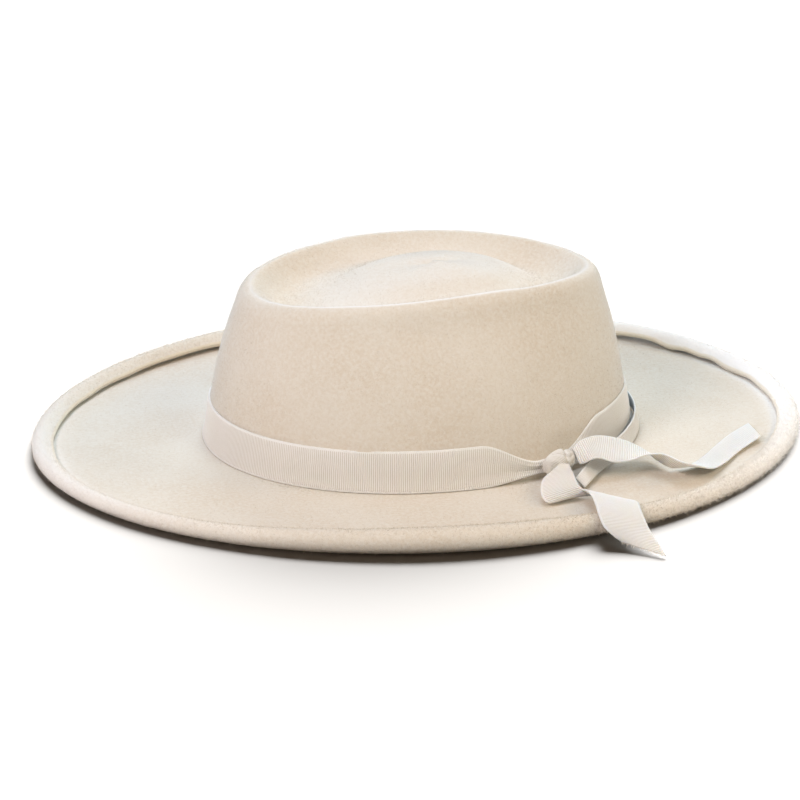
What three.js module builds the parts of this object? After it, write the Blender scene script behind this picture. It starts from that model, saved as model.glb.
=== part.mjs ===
// Felt fedora with a curled brim edge and a grosgrain ribbon tied at the right.
// Millimetres, +Z up. The hat rests on its brim at z = 0, with its long axis along X.
// Angles go round the hat from the right end (+X), towards the far side (+Y).
// Sizes are measured from the crown's middle, and the last lines move the origin.
import * as THREE from 'three';

// Felt and main sizes
const feltThickness = 2.3;
const crownLength = 206.3;
const crownWidth = 171.9;
const rimHeight = 82.75;
const domeHeight = 86.2;
const moatDepth = 9.2;
const rimLength = 161.4;
const rimWidth = 108.4;
const rimShift = 1.0;
const rimTaper = 0.064;
const domeShift = 8.3;
const brimLength = 375.3;
const brimWidth = 310.9;
const brimShiftX = 1.0;
const brimShiftY = 1.5;
const brimRise = 0.9;
const footRadius = 2.2;
const curlHeight = 9.0;
const flangeWidth = 5.7;
const flangeFall = 0.56;

// Rim waves: the ends of the crown sit lower than its sides, and the right end a little higher.
const rimDip = 2.9;
const rimLeanX = 1.4;
const rimLeanY = -0.95;
const rimSkew = -0.4;

// Roundness of each oval: 2 is an ellipse
const footRound = 2.06;
const rimRound = 2.07;
const brimRound = 1.93;

// Ribbon
const ribbonWidth = 20.5;
const ribbonThickness = 1.0;
const clearance = 0.35;
const bandHeight = 18.9;
const knotLength = 16.5;
const knotHeight = 11.0;
const knotDepth = 8.5;
const plyHeight = 9.5;

// Shape of the felt between its rows
const footTurns = [180, 225, 270];
const wallTopLength = 1.075;
const wallTopWidth = 1.09;
const taperStart = 1.3;
const waveFade = 1.5;

// How finely the pieces are cut into facets
const feltSides = 68;
const tailSteps = 3;
const knotSides = 18;
const knotRings = 9;

// Crown top from the middle of the dome out to the rim, as shares of the rim's oval.
// drop is below the level that the row belongs to, as a share of the moat's depth, and wave is
// how much of the rim's waves it takes.
const domeRows = [
  { out: 0.0, side: 0.0, from: 'dome', drop: 0.0, wave: 0.3, shift: 1.0 },
  { out: 0.22, side: 0.22, from: 'dome', drop: 0.109, wave: 0.3, shift: 1.0 },
  { out: 0.44, side: 0.44, from: 'dome', drop: 0.435, wave: 0.4, shift: 0.9 },
  { out: 0.6, side: 0.58, from: 'dome', drop: 0.978, wave: 0.6, shift: 0.6 },
  { out: 0.7, side: 0.68, from: 'moat', drop: -0.13, wave: 0.8, shift: 0.3 },
  { out: 0.8, side: 0.78, from: 'moat', drop: 0.0, wave: 0.9, shift: 0.0 },
  { out: 0.885, side: 0.87, from: 'moat', drop: -0.283, wave: 1.0, shift: 0.0 },
  { out: 0.945, side: 0.935, from: 'rim', drop: 0.359, wave: 1.0, shift: 0.0 },
  { out: 0.978, side: 0.97, from: 'rim', drop: 0.141, wave: 1.0, shift: 0.0 },
  { out: 1.0, side: 1.0, from: 'rim', drop: 0.027, wave: 1.0, shift: 0.0 },
  { out: 1.028, side: 1.036, from: 'rim', drop: 0.076, wave: 1.0, shift: 0.0 },
  { out: 1.056, side: 1.072, from: 'rim', drop: 0.326, wave: 1.0, shift: 0.0 },
];

// Crown side from the top down: height as a share of the crown, narrow as the share of
// the way in from the foot's oval to the rim's.
const wallRows = [
  { height: 0.86, narrow: 0.93 },
  { height: 0.68, narrow: 0.648 },
  { height: 0.5, narrow: 0.406 },
  { height: 0.3, narrow: 0.203 },
  { height: 0.13, narrow: 0.057 },
];

// Brim from the crown's foot out: share of the way to the curl, share of the rise left.
const brimRows = [
  { out: 0.06, rise: 1.0 },
  { out: 0.33, rise: 0.75 },
  { out: 0.62, rise: 0.3 },
  { out: 0.9, rise: 0.0 },
];

// Angles of the rows round the curled edge, from flat brim to over the top
const curlAngles = [-90, -60, -30, 0, 30, 60, 90, 118];

// The edge was curled by hand, so its height varies: every 30 degrees, as shares of curlHeight
const curlShares = [0.88, 1.03, 1.08, 1.09, 1.07, 0.93, 0.84, 0.82, 1.08, 1.27, 0.91, 0.91];

const degrees = Math.PI / 180;

// Point on an oval whose corners are as round as the exponent says
function oval(angle, halfLength, halfWidth, round) {
  const c = Math.cos(angle);
  const s = Math.sin(angle);
  const pull = (Math.abs(c) ** round + Math.abs(s) ** round) ** (-1 / round);
  return [halfLength * c * pull, halfWidth * s * pull];
}

// Even wave through values that are spaced evenly round the hat
function wheel(values, angle) {
  const count = values.length;
  let sum = 0;
  for (let k = 0; k <= count / 2; k += 1) {
    const weight = k === 0 || k === count / 2 ? 1 : 2;
    for (let i = 0; i < count; i += 1) {
      sum += (weight * values[i] * Math.cos(k * (angle - (2 * Math.PI * i) / count))) / count;
    }
  }
  return sum;
}

function rimWave(angle) {
  return (
    -rimDip * Math.cos(2 * angle) +
    rimLeanX * Math.cos(angle) +
    rimLeanY * Math.sin(angle) +
    rimSkew * Math.sin(2 * angle)
  );
}

const half = feltThickness / 2;
const footA = crownLength / 2 - half;
const footB = crownWidth / 2 - half;
const rimTop = rimHeight - half;
const domeTop = domeHeight - half;
const brimLevel = half + brimRise;

function curlSize(angle) {
  return curlHeight * wheel(curlShares, angle);
}

// Middle of the felt, row by row from the dome to the cut edge, at one angle round the hat
function meridian(angle) {
  const points = [];
  const rimA = rimLength / 2;
  const rimB = rimWidth / 2;
  const levels = { dome: domeTop, moat: rimTop - moatDepth, rim: rimTop };
  for (const row of domeRows) {
    const [x, y] = oval(angle, rimA * row.out, rimB * row.side, rimRound);
    const taper = 1 - rimTaper * Math.cos(angle) * Math.min(1, row.out * taperStart);
    const shift = domeShift * row.shift + rimShift * (1 - row.shift);
    const z = levels[row.from] - row.drop * moatDepth + row.wave * rimWave(angle);
    points.push(new THREE.Vector3(x + shift, y * taper, z));
  }
  for (const row of wallRows) {
    const n = row.narrow;
    const a = footA * (1 - n) + rimA * wallTopLength * n;
    const b = footB * (1 - n) + rimB * wallTopWidth * n;
    const [x, y] = oval(angle, a, b, footRound * (1 - n) + rimRound * n);
    const z = brimLevel + (rimTop - brimLevel) * row.height + row.height ** waveFade * rimWave(angle);
    points.push(new THREE.Vector3(x + rimShift * n, y * (1 - rimTaper * n * Math.cos(angle)), z));
  }
  for (const turn of footTurns) {
    const out = footRadius * (1 + Math.cos(turn * degrees));
    const up = footRadius * (1 + Math.sin(turn * degrees));
    const [x, y] = oval(angle, footA + out, footB + out, footRound);
    points.push(new THREE.Vector3(x, y, brimLevel + up));
  }
  const roll = (curlSize(angle) - feltThickness) / 2;
  const edgeA = brimLength / 2 - half - roll;
  const edgeB = brimWidth / 2 - half - roll;
  for (const row of brimRows) {
    const f = row.out;
    const a = (footA + footRadius) * (1 - f) + edgeA * f;
    const b = (footB + footRadius) * (1 - f) + edgeB * f;
    const [x, y] = oval(angle, a, b, footRound * (1 - f) + brimRound * f);
    points.push(new THREE.Vector3(x + f * brimShiftX, y + f * brimShiftY, half + brimRise * row.rise));
  }
  const addEdge = (out, up) => {
    const [x, y] = oval(angle, edgeA + out, edgeB + out, brimRound);
    points.push(new THREE.Vector3(x + brimShiftX, y + brimShiftY, half + up));
  };
  for (const turn of curlAngles) {
    addEdge(roll * Math.cos(turn * degrees), roll * (1 + Math.sin(turn * degrees)));
  }
  const last = curlAngles[curlAngles.length - 1] * degrees;
  const lastOut = roll * Math.cos(last);
  const lastUp = roll * (1 + Math.sin(last));
  const reach = flangeWidth + lastOut;
  for (const share of [0.5, 1.0]) {
    addEdge(lastOut - reach * share, lastUp - reach * share * flangeFall);
  }
  return points;
}

// Direction out of the felt's upper side at a row
function feltNormal(angle, row, rows) {
  const nearby = 0.5 * degrees;
  const before = meridian(angle - nearby)[row];
  const after = meridian(angle + nearby)[row];
  const around = after.clone().sub(before);
  const inner = rows[Math.max(0, row - 1)];
  const outer = rows[Math.min(rows.length - 1, row + 1)];
  const along = outer.clone().sub(inner);
  return along.cross(around).normalize();
}

// One quad grid, wrapped round in the second direction, as triangles facing out
function addGrid(indices, first, rows, columns, flip) {
  for (let r = 0; r < rows - 1; r += 1) {
    for (let c = 0; c < columns; c += 1) {
      const a = first + r * columns + c;
      const b = first + r * columns + ((c + 1) % columns);
      const d = a + columns;
      const e = b + columns;
      if (flip) {
        indices.push(a, b, d, b, e, d);
      } else {
        indices.push(a, d, b, b, d, e);
      }
    }
  }
}

function solid(points, indices) {
  const geometry = new THREE.BufferGeometry();
  const flat = points.flatMap((p) => [p.x, p.y, p.z]);
  geometry.setAttribute('position', new THREE.Float32BufferAttribute(flat, 3));
  geometry.setIndex(indices);
  geometry.computeVertexNormals();
  return geometry;
}

// Crown, brim and curled edge as one shell of even felt
function feltBody() {
  const upper = [];
  const under = [];
  const lastBrim = domeRows.length + wallRows.length + footTurns.length + brimRows.length - 1;
  for (let c = 0; c < feltSides; c += 1) {
    const angle = (c / feltSides) * 2 * Math.PI;
    const rows = meridian(angle);
    const top = [];
    const below = [];
    for (let r = 1; r < rows.length; r += 1) {
      const normal = feltNormal(angle, r, rows);
      const a = rows[r].clone().addScaledVector(normal, half);
      const b = rows[r].clone().addScaledVector(normal, -half);
      if (r === lastBrim || r === lastBrim + 1) {
        b.z = 0;
      }
      top.push(a);
      below.push(b);
    }
    upper.push(top);
    under.push(below);
  }
  const rowCount = upper[0].length;
  const points = [];
  for (const side of [upper, under]) {
    for (let r = 0; r < rowCount; r += 1) {
      for (let c = 0; c < feltSides; c += 1) {
        points.push(side[c][r]);
      }
    }
  }
  const middle = new THREE.Vector3(domeShift, 0, domeTop);
  points.push(middle.clone().setZ(domeTop + half));
  points.push(middle.clone().setZ(domeTop - half));
  const indices = [];
  const underFirst = rowCount * feltSides;
  const apexUpper = points.length - 2;
  const apexUnder = points.length - 1;
  addGrid(indices, 0, rowCount, feltSides, false);
  addGrid(indices, underFirst, rowCount, feltSides, true);
  for (let c = 0; c < feltSides; c += 1) {
    const next = (c + 1) % feltSides;
    indices.push(apexUpper, c, next);
    indices.push(apexUnder, underFirst + next, underFirst + c);
    const lastUpper = (rowCount - 1) * feltSides;
    const a = lastUpper + c;
    const b = lastUpper + next;
    const d = underFirst + lastUpper + c;
    const e = underFirst + lastUpper + next;
    indices.push(a, d, b, b, d, e);
  }
  return solid(points, indices);
}

// Outer side of the crown's wall at a height, with the outward direction there
function crownWall(angle, z) {
  const rows = meridian(angle);
  const firstWall = domeRows.length - 1;
  const lastWall = domeRows.length + wallRows.length;
  for (let r = firstWall; r < lastWall; r += 1) {
    const upperRow = rows[r];
    const lowerRow = rows[r + 1];
    if (z >= lowerRow.z || r === lastWall - 1) {
      const share = (upperRow.z - z) / (upperRow.z - lowerRow.z);
      const nearNormal = feltNormal(angle, r, rows);
      const farNormal = feltNormal(angle, r + 1, rows);
      const normal = nearNormal.lerp(farNormal, Math.min(1, share)).setZ(0).normalize();
      const point = upperRow.clone().lerp(lowerRow, Math.min(1, share));
      point.z = z;
      point.addScaledVector(normal, half);
      return { point, normal };
    }
  }
  return null;
}

// Closed strip from rings of points: each ring goes round the strip's section once
function closedRings(rings, joined) {
  const points = rings.flat();
  const size = rings[0].length;
  const indices = [];
  const count = rings.length;
  const spans = joined ? count : count - 1;
  for (let r = 0; r < spans; r += 1) {
    const next = (r + 1) % count;
    for (let c = 0; c < size; c += 1) {
      const a = r * size + c;
      const b = r * size + ((c + 1) % size);
      const d = next * size + c;
      const e = next * size + ((c + 1) % size);
      indices.push(a, d, b, b, d, e);
    }
  }
  if (!joined) {
    const last = (count - 1) * size;
    const acrossCount = size / 2;
    for (let c = 0; c < acrossCount - 1; c += 1) {
      const far = size - 1 - c;
      indices.push(c, c + 1, far, c + 1, far - 1, far);
      indices.push(last + c, last + far, last + c + 1, last + c + 1, last + far, last + far - 1);
    }
  }
  return solid(points, indices);
}

// Where the ribbon is tied: angle round the hat, and the degrees that its gathers take up
const knotAngle = 295;
const gatherFull = 3;
const gatherBefore = 17;
const gatherAfter = 18;
const gatherNarrow = 0.27;
const foldDepth = 0.9;
const foldTurns = 3 * Math.PI;

function smooth(share) {
  const s = Math.min(1, Math.max(0, share));
  return s * s * (3 - 2 * s);
}

// 0 on the plain band, 1 where the knot pulls it together
function gathered(angleDegrees) {
  const away = angleDegrees - knotAngle;
  if (away < 0) {
    return smooth(1 + (away + gatherFull) / gatherBefore);
  }
  return smooth(1 - (away - gatherFull) / gatherAfter);
}

// The band rides higher at the right, where its second layer pushes it up
const bandLift = 2.2;
const liftAngle = 335;
const liftReach = 40;

function bandRise(angleDegrees) {
  const away = Math.abs(((angleDegrees - liftAngle + 540) % 360) - 180);
  return bandLift * smooth(1 - away / liftReach);
}

// Band across its width: share of the height, and how far it stands off past its clearance
// in ribbon thicknesses
const bandRows = [
  { up: 0.0, off: 0.85 },
  { up: 0.28, off: 0.2 },
  { up: 0.64, off: 0.1 },
  { up: 1.0, off: 0.1 },
];
const bandFoot = brimLevel + half + clearance;
const bandMiddle = 0.21;

// How far the band stands off the crown at a share of its height
function bandOff(up) {
  const above = Math.max(1, bandRows.findIndex((row) => row.up >= up));
  const low = bandRows[above - 1];
  const high = bandRows[above];
  const share = (up - low.up) / (high.up - low.up);
  return clearance + ribbonThickness * (low.off + (high.off - low.off) * share);
}

function bandPoint(angleDegrees, row, depth) {
  const pull = gathered(angleDegrees);
  const narrowed = 1 - (1 - gatherNarrow) * pull;
  const up = bandMiddle + (row.up - bandMiddle) * narrowed;
  const height = bandFoot + bandHeight * up + bandRise(angleDegrees);
  const wall = crownWall(angleDegrees * degrees, height);
  const fold = foldDepth * pull * (0.5 + 0.5 * Math.cos(row.up * foldTurns));
  return wall.point.addScaledVector(wall.normal, bandOff(up) + fold + depth);
}

function ribbonBand() {
  const rings = [];
  for (let c = 0; c < feltSides; c += 1) {
    const angleDegrees = (c / feltSides) * 360;
    const outer = bandRows.map((row) => bandPoint(angleDegrees, row, ribbonThickness));
    const inner = bandRows.map((row) => bandPoint(angleDegrees, row, 0));
    rings.push([...outer, ...inner.reverse()]);
  }
  return closedRings(rings, true);
}

// Knot on the gathered band: folds round it, how full and how twisted it is
const knotFolds = 3;
const knotFoldDepth = 0.07;
const knotTwist = 1.5;
const knotFullness = 0.7;
const knotRaise = 4.4;
const knotStand = bandRows[0].off * ribbonThickness + foldDepth + ribbonThickness + 2 * clearance;
const knotFront = knotStand + knotDepth * (1 + knotFoldDepth);

// Middle of the knot, and its directions along the band, up and away from the crown
function knotFrame() {
  const wall = crownWall(knotAngle * degrees, bandFoot + bandHeight * bandMiddle + knotRaise);
  const out = wall.normal;
  const up = new THREE.Vector3(0, 0, 1);
  const side = up.clone().cross(out).normalize();
  const middle = wall.point.addScaledVector(out, knotStand + (knotDepth * (1 + knotFoldDepth)) / 2);
  return { middle, side, up, out };
}

// Plan point between the crown's foot (0) and the brim's edge (1)
function planPoint(angleDegrees, out) {
  const f = out;
  const a = (crownLength / 2) * (1 - f) + (brimLength / 2) * f;
  const b = (crownWidth / 2) * (1 - f) + (brimWidth / 2) * f;
  const [x, y] = oval(angleDegrees * degrees, a, b, footRound * (1 - f) + brimRound * f);
  return new THREE.Vector3(x + f * brimShiftX, y + f * brimShiftY, 0);
}

const brimTop = brimLevel + half;

// Ribbon tails, a row per station along the ribbon. angle and out place its middle in plan,
// up is above the brim's top as a share of the ribbon's width, over adds that share of the curl's
// height, turn and tip are the heading and the slope of the line across the ribbon, wide is its
// share of the full width. along and clear move a station past the knot's end and front.
const upperTail = [
  { angle: 295, out: 0, up: 0.47, over: 0, turn: -74, tip: -44, wide: 0.4, along: 1.04, clear: 0.72 },
  { angle: 295, out: 0, up: 0.62, over: 0, turn: -88, tip: -16, wide: 0.74, along: 1.6, clear: 0.88 },
  { angle: 304.1, out: 0.167, up: 0.6, over: 0, turn: -101, tip: -9, wide: 1, along: 0, clear: 0 },
  { angle: 307, out: 0.218, up: 0.5, over: 0, turn: -104, tip: -13, wide: 1, along: 0, clear: 0 },
  { angle: 310.8, out: 0.27, up: 0.38, over: 0, turn: -108, tip: -2, wide: 1, along: 0, clear: 0 },
  { angle: 312.8, out: 0.34, up: 0.33, over: 0, turn: -107, tip: 16, wide: 1, along: 0, clear: 0 },
  { angle: 312.3, out: 0.446, up: 0.31, over: 0, turn: -99, tip: 29, wide: 1, along: 0, clear: 0 },
  { angle: 310.7, out: 0.596, up: 0.28, over: 0, turn: -95, tip: 29, wide: 1, along: 0, clear: 0 },
  { angle: 313.4, out: 0.66, up: 0.19, over: 0, turn: -94, tip: 20, wide: 1, along: 0, clear: 0 },
  { angle: 318.4, out: 0.66, up: 0.06, over: 0, turn: -94, tip: 7, wide: 1, along: 0, clear: 0 },
  { angle: 324.3, out: 0.65, up: 0.01, over: 0, turn: -92, tip: 2, wide: 1, along: 0, clear: 0 },
  { angle: 331.4, out: 0.665, up: 0, over: 0, turn: -94, tip: 0, wide: 1, along: 0, clear: 0 },
  { angle: 338.4, out: 0.75, up: 0.04, over: 0, turn: -93, tip: 3, wide: 1, along: 0, clear: 0 },
];
const lowerTail = [
  { angle: 295, out: 0, up: 0.44, over: 0, turn: -12, tip: 0, wide: 0.22, along: -0.16, clear: 1.0 },
  { angle: 295, out: 0, up: 0.395, over: 0, turn: -6, tip: 3, wide: 0.42, along: -0.6, clear: 1.22 },
  { angle: 289.6, out: 0.262, up: 0.33, over: 0, turn: -2, tip: 5, wide: 0.68, along: 0, clear: 0 },
  { angle: 287.5, out: 0.351, up: 0.26, over: 0, turn: 3, tip: 8, wide: 0.84, along: 0, clear: 0 },
  { angle: 286.4, out: 0.44, up: 0.18, over: 0, turn: 10, tip: 9, wide: 0.92, along: 0, clear: 0 },
  { angle: 287.1, out: 0.464, up: 0.1, over: 0, turn: 13, tip: 8, wide: 0.95, along: 0, clear: 0 },
  { angle: 289.5, out: 0.45, up: 0.045, over: 0, turn: 6, tip: 3, wide: 0.97, along: 0, clear: 0 },
  { angle: 291.8, out: 0.47, up: 0.035, over: 0, turn: -14, tip: -2, wide: 1, along: 0, clear: 0 },
  { angle: 292.8, out: 0.533, up: 0.07, over: 0, turn: -28, tip: -4, wide: 1.05, along: 0, clear: 0 },
  { angle: 292.3, out: 0.623, up: 0.17, over: 0, turn: -31, tip: -7, wide: 1.08, along: 0, clear: 0 },
  { angle: 290.1, out: 0.798, up: 0.325, over: 0, turn: -26, tip: -4, wide: 1.04, along: 0, clear: 0 },
  { angle: 287.9, out: 0.955, up: 0.06, over: 1, turn: -22, tip: -4, wide: 1, along: 0, clear: 0 },
  { angle: 286.5, out: 1.08, up: 0.01, over: 1, turn: -17, tip: -4, wide: 1, along: 0, clear: 0 },
  { angle: 285.8, out: 1.186, up: 0, over: 0.62, turn: -16, tip: -4, wide: 1, along: 0, clear: 0 },
  { angle: 285.8, out: 1.274, up: 0, over: 0.2, turn: -29, tip: -3, wide: 1, along: 0, clear: 0 },
  { angle: 285.9, out: 1.361, up: -0.08, over: 0, turn: -44, tip: -5, wide: 1.08, along: 0, clear: 0 },
];
// Second layer of ribbon at the right, folded lengthwise, standing off the band
const outerPly = [
  { angle: 385, out: 0.043, up: 0.178, over: 0, turn: 25, tip: -84, wide: 0.8, along: 0, clear: 0 },
  { angle: 371.6, out: 0.042, up: 0.178, over: 0, turn: 12, tip: -82, wide: 0.8, along: 0, clear: 0 },
  { angle: 360, out: 0.042, up: 0.178, over: 0, turn: 0, tip: -80, wide: 0.8, along: 0, clear: 0 },
  { angle: 349, out: 0.044, up: 0.176, over: 0, turn: -11, tip: -77, wide: 0.8, along: 0, clear: 0 },
  { angle: 337.4, out: 0.05, up: 0.174, over: 0, turn: -22, tip: -73, wide: 0.8, along: 0, clear: 0 },
  { angle: 325.1, out: 0.064, up: 0.17, over: 0, turn: -34, tip: -67, wide: 0.8, along: 0, clear: 0 },
  { angle: 312.8, out: 0.1, up: 0.165, over: 0, turn: -46, tip: -57, wide: 0.78, along: 0, clear: 0 },
  { angle: 302.4, out: 0.179, up: 0.15, over: 0, turn: -55, tip: -42, wide: 0.72, along: 0, clear: 0 },
  { angle: 293.6, out: 0.32, up: 0.13, over: 0, turn: -57, tip: -28, wide: 0.68, along: 0, clear: 0 },
];

function catmull(a, b, c, d, t) {
  return (
    0.5 *
    (2 * b + (c - a) * t + (2 * a - 5 * b + 4 * c - d) * t * t + (3 * b - a - 3 * c + d) * t ** 3)
  );
}

// Stations smoothed into evenly spaced ones
function between(rows, steps) {
  const result = [];
  for (let i = 0; i < rows.length - 1; i += 1) {
    const around = [rows[Math.max(0, i - 1)], rows[i], rows[i + 1], rows[Math.min(rows.length - 1, i + 2)]];
    for (let k = 0; k < steps; k += 1) {
      const row = {};
      for (const key of Object.keys(rows[0])) {
        row[key] = catmull(...around.map((r) => r[key]), k / steps);
      }
      result.push(row);
    }
  }
  result.push(rows[rows.length - 1]);
  return result;
}

function stationMiddle(row) {
  const point = planPoint(row.angle, row.out);
  const knot = knotFrame();
  point.addScaledVector(knot.side, (row.along * knotLength) / 2);
  point.addScaledVector(knot.out, row.clear * knotFront);
  const seat = brimTop + clearance + ribbonThickness / 2;
  const climb = (curlSize(row.angle * degrees) - brimTop) * row.over;
  point.z = seat + ribbonWidth * row.up + climb;
  return point;
}

// A strip of ribbon through its stations, closed all round
function strip(stations, width) {
  const rows = between(stations, tailSteps);
  const middles = rows.map(stationMiddle);
  const rings = rows.map((row, i) => {
    const turn = row.turn * degrees;
    const tip = row.tip * degrees;
    const across = new THREE.Vector3(
      Math.cos(tip) * Math.cos(turn),
      Math.cos(tip) * Math.sin(turn),
      Math.sin(tip),
    );
    const ahead = middles[Math.min(rows.length - 1, i + 1)];
    const along = ahead.clone().sub(middles[Math.max(0, i - 1)]).normalize();
    along.addScaledVector(across, -along.dot(across)).normalize();
    const face = along.clone().cross(across).normalize();
    const reach = (width * row.wide) / 2;
    const ring = [];
    const skin = ribbonThickness / 2;
    for (const side of [-1, 0, 1]) {
      ring.push(middles[i].clone().addScaledVector(across, side * reach).addScaledVector(face, skin));
    }
    for (const side of [1, 0, -1]) {
      ring.push(middles[i].clone().addScaledVector(across, side * reach).addScaledVector(face, -skin));
    }
    return ring;
  });
  return closedRings(rings, false);
}

// The knot: a small cushion of wrapped ribbon with shallow folds
function ribbonKnot() {
  const { middle, side, up, out } = knotFrame();
  const points = [];
  for (let r = 1; r < knotRings; r += 1) {
    const polar = (r / knotRings) * Math.PI;
    for (let c = 0; c < knotSides; c += 1) {
      const around = (c / knotSides) * 2 * Math.PI;
      const folds = 1 + knotFoldDepth * Math.cos(knotFolds * around + knotTwist * polar);
      const wide = Math.sin(polar) ** knotFullness * folds;
      points.push(
        middle
          .clone()
          .addScaledVector(side, (-Math.cos(polar) * knotLength) / 2)
          .addScaledVector(up, (Math.sin(around) * wide * knotHeight) / 2)
          .addScaledVector(out, (Math.cos(around) * wide * knotDepth) / 2),
      );
    }
  }
  const indices = [];
  addGrid(indices, 0, knotRings - 1, knotSides, false);
  const first = points.length;
  points.push(middle.clone().addScaledVector(side, -knotLength / 2));
  points.push(middle.clone().addScaledVector(side, knotLength / 2));
  const lastRing = (knotRings - 2) * knotSides;
  for (let c = 0; c < knotSides; c += 1) {
    const next = (c + 1) % knotSides;
    indices.push(first, c, next);
    indices.push(first + 1, lastRing + next, lastRing + c);
  }
  return solid(points, indices);
}

function material(color, roughness) {
  return new THREE.MeshStandardMaterial({ color, roughness, metalness: 0 });
}

function named(name, geometry, color, roughness) {
  const mesh = new THREE.Mesh(geometry, material(color, roughness));
  mesh.name = name;
  return mesh;
}

const hat = new THREE.Group();
hat.name = 'fedora';
hat.add(named('felt_body', feltBody(), '#e6dccb', 0.95));
hat.add(named('ribbon_band', ribbonBand(), '#e8decc', 0.75));
hat.add(named('ribbon_knot', ribbonKnot(), '#eadfcd', 0.75));
hat.add(named('ribbon_outer_ply', strip(outerPly, plyHeight), '#e3dccf', 0.75));
hat.add(named('ribbon_tail_upper', strip(upperTail, ribbonWidth), '#ece4d6', 0.75));
hat.add(named('ribbon_tail_lower', strip(lowerTail, ribbonWidth), '#ece4d6', 0.75));

// The origin is the middle of the hat's footprint, on the table
const footprint = new THREE.Box3().setFromObject(hat).getCenter(new THREE.Vector3());
for (const mesh of hat.children) {
  mesh.geometry.translate(-footprint.x, -footprint.y, 0);
}

export default hat;
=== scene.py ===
"""Felt fedora with a curled brim edge and a tied grosgrain ribbon."""
import math

import bpy
import numpy as np
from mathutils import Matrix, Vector


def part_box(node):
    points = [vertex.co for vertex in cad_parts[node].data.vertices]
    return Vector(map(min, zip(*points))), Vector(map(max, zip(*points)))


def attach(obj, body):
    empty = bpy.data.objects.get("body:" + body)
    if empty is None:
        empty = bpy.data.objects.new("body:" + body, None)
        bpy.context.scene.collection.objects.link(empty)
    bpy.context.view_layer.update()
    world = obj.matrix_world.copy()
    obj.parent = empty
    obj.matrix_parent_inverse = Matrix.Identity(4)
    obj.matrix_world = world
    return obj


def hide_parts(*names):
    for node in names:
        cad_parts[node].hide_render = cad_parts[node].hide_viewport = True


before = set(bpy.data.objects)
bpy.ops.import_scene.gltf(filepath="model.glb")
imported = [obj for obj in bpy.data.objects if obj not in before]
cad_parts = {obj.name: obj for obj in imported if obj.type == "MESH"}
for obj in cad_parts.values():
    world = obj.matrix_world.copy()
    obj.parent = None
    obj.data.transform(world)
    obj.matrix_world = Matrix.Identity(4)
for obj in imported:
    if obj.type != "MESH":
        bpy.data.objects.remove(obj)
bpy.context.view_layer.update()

MM = 0.001

# Felt sizes in millimetres, measured from the crown's middle
FELT = 2.3
CROWN_LENGTH, CROWN_WIDTH = 206.3, 171.9
RIM_HEIGHT, DOME_HEIGHT, MOAT_DEPTH = 82.75, 86.2, 9.2
RIM_LENGTH, RIM_WIDTH = 161.4, 108.4
RIM_SHIFT, RIM_TAPER, DOME_SHIFT = 1.0, 0.064, 8.3
BRIM_LENGTH, BRIM_WIDTH = 375.3, 310.9
BRIM_SHIFT_X, BRIM_SHIFT_Y = 1.0, 1.5
BRIM_RISE, FOOT_RADIUS = 0.9, 2.2
CURL_HEIGHT, FLANGE_WIDTH, FLANGE_FALL = 9.0, 5.7, 0.56
RIM_DIP, RIM_LEAN_X, RIM_LEAN_Y, RIM_SKEW = 2.9, 1.4, -0.95, -0.4
FOOT_ROUND, RIM_ROUND, BRIM_ROUND = 2.06, 2.07, 1.93
WALL_TOP_LENGTH, WALL_TOP_WIDTH = 1.075, 1.09

# Ribbon sizes
RIBBON_WIDTH, RIBBON_THICK, CLEAR = 20.5, 1.0, 0.35
BAND_HEIGHT, PLY_HEIGHT = 18.9, 9.5
KNOT_LENGTH, KNOT_HEIGHT, KNOT_DEPTH = 16.5, 11.0, 8.5
KNOT_ANGLE = 295
# Cloth without its ribs, the ribs' height and spacing, and the loops of the selvedge
CLOTH, RIB_DEPTH, RIB_PITCH, LOOP_DEPTH = 0.62, 0.22, 0.97, 0.16
SELVEDGE_SHARE = 0.8

# Crown top: share out along and across, level it hangs from, drop, wave, shift
DOME_ROWS = [
    (0.0, 0.0, "dome", 0.0, 0.3, 1.0),
    (0.22, 0.22, "dome", 1.0, 0.3, 1.0),
    (0.44, 0.44, "dome", 4.0, 0.4, 0.9),
    (0.6, 0.58, "dome", 9.0, 0.6, 0.6),
    (0.7, 0.68, "moat", -1.2, 0.8, 0.3),
    (0.8, 0.78, "moat", 0.0, 0.9, 0.0),
    (0.885, 0.87, "moat", -2.6, 1.0, 0.0),
    (0.945, 0.935, "rim", 3.3, 1.0, 0.0),
    (0.978, 0.97, "rim", 1.3, 1.0, 0.0),
    (1.0, 1.0, "rim", 0.25, 1.0, 0.0),
    (1.028, 1.036, "rim", 0.7, 1.0, 0.0),
    (1.056, 1.072, "rim", 3.0, 1.0, 0.0),
]
# Crown side: height share, how far in towards the rim's oval
WALL_ROWS = [(0.86, 0.93), (0.68, 0.648), (0.5, 0.406), (0.3, 0.203), (0.13, 0.057)]
FOOT_TURNS = [180, 225, 270]
# Brim: share of the way out, share of the rise left
BRIM_ROWS = [(0.06, 1.0), (0.33, 0.75), (0.62, 0.3), (0.9, 0.0)]
CURL_ANGLES = [-90, -60, -30, 0, 30, 60, 90, 118]
CURL_SHARES = [0.88, 1.03, 1.08, 1.09, 1.07, 0.93, 0.84, 0.82, 1.08, 1.27, 0.91, 0.91]

# How much the creases bend, and the height that they stay below
WRINKLE_BEND, WRINKLE_LEVEL = 0.02, 4.5
# Creases: x, y, heading, length, width, height, from the crown's middle
WRINKLES = [
    (88, -89, 20, 9, 2.2, 0.8),
    (96, -96, 35, 10, 2.4, 0.7),
    (104, -88, 10, 8, 2.0, 0.6),
    (80, -97, 40, 8, 2.6, 0.55),
]

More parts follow.
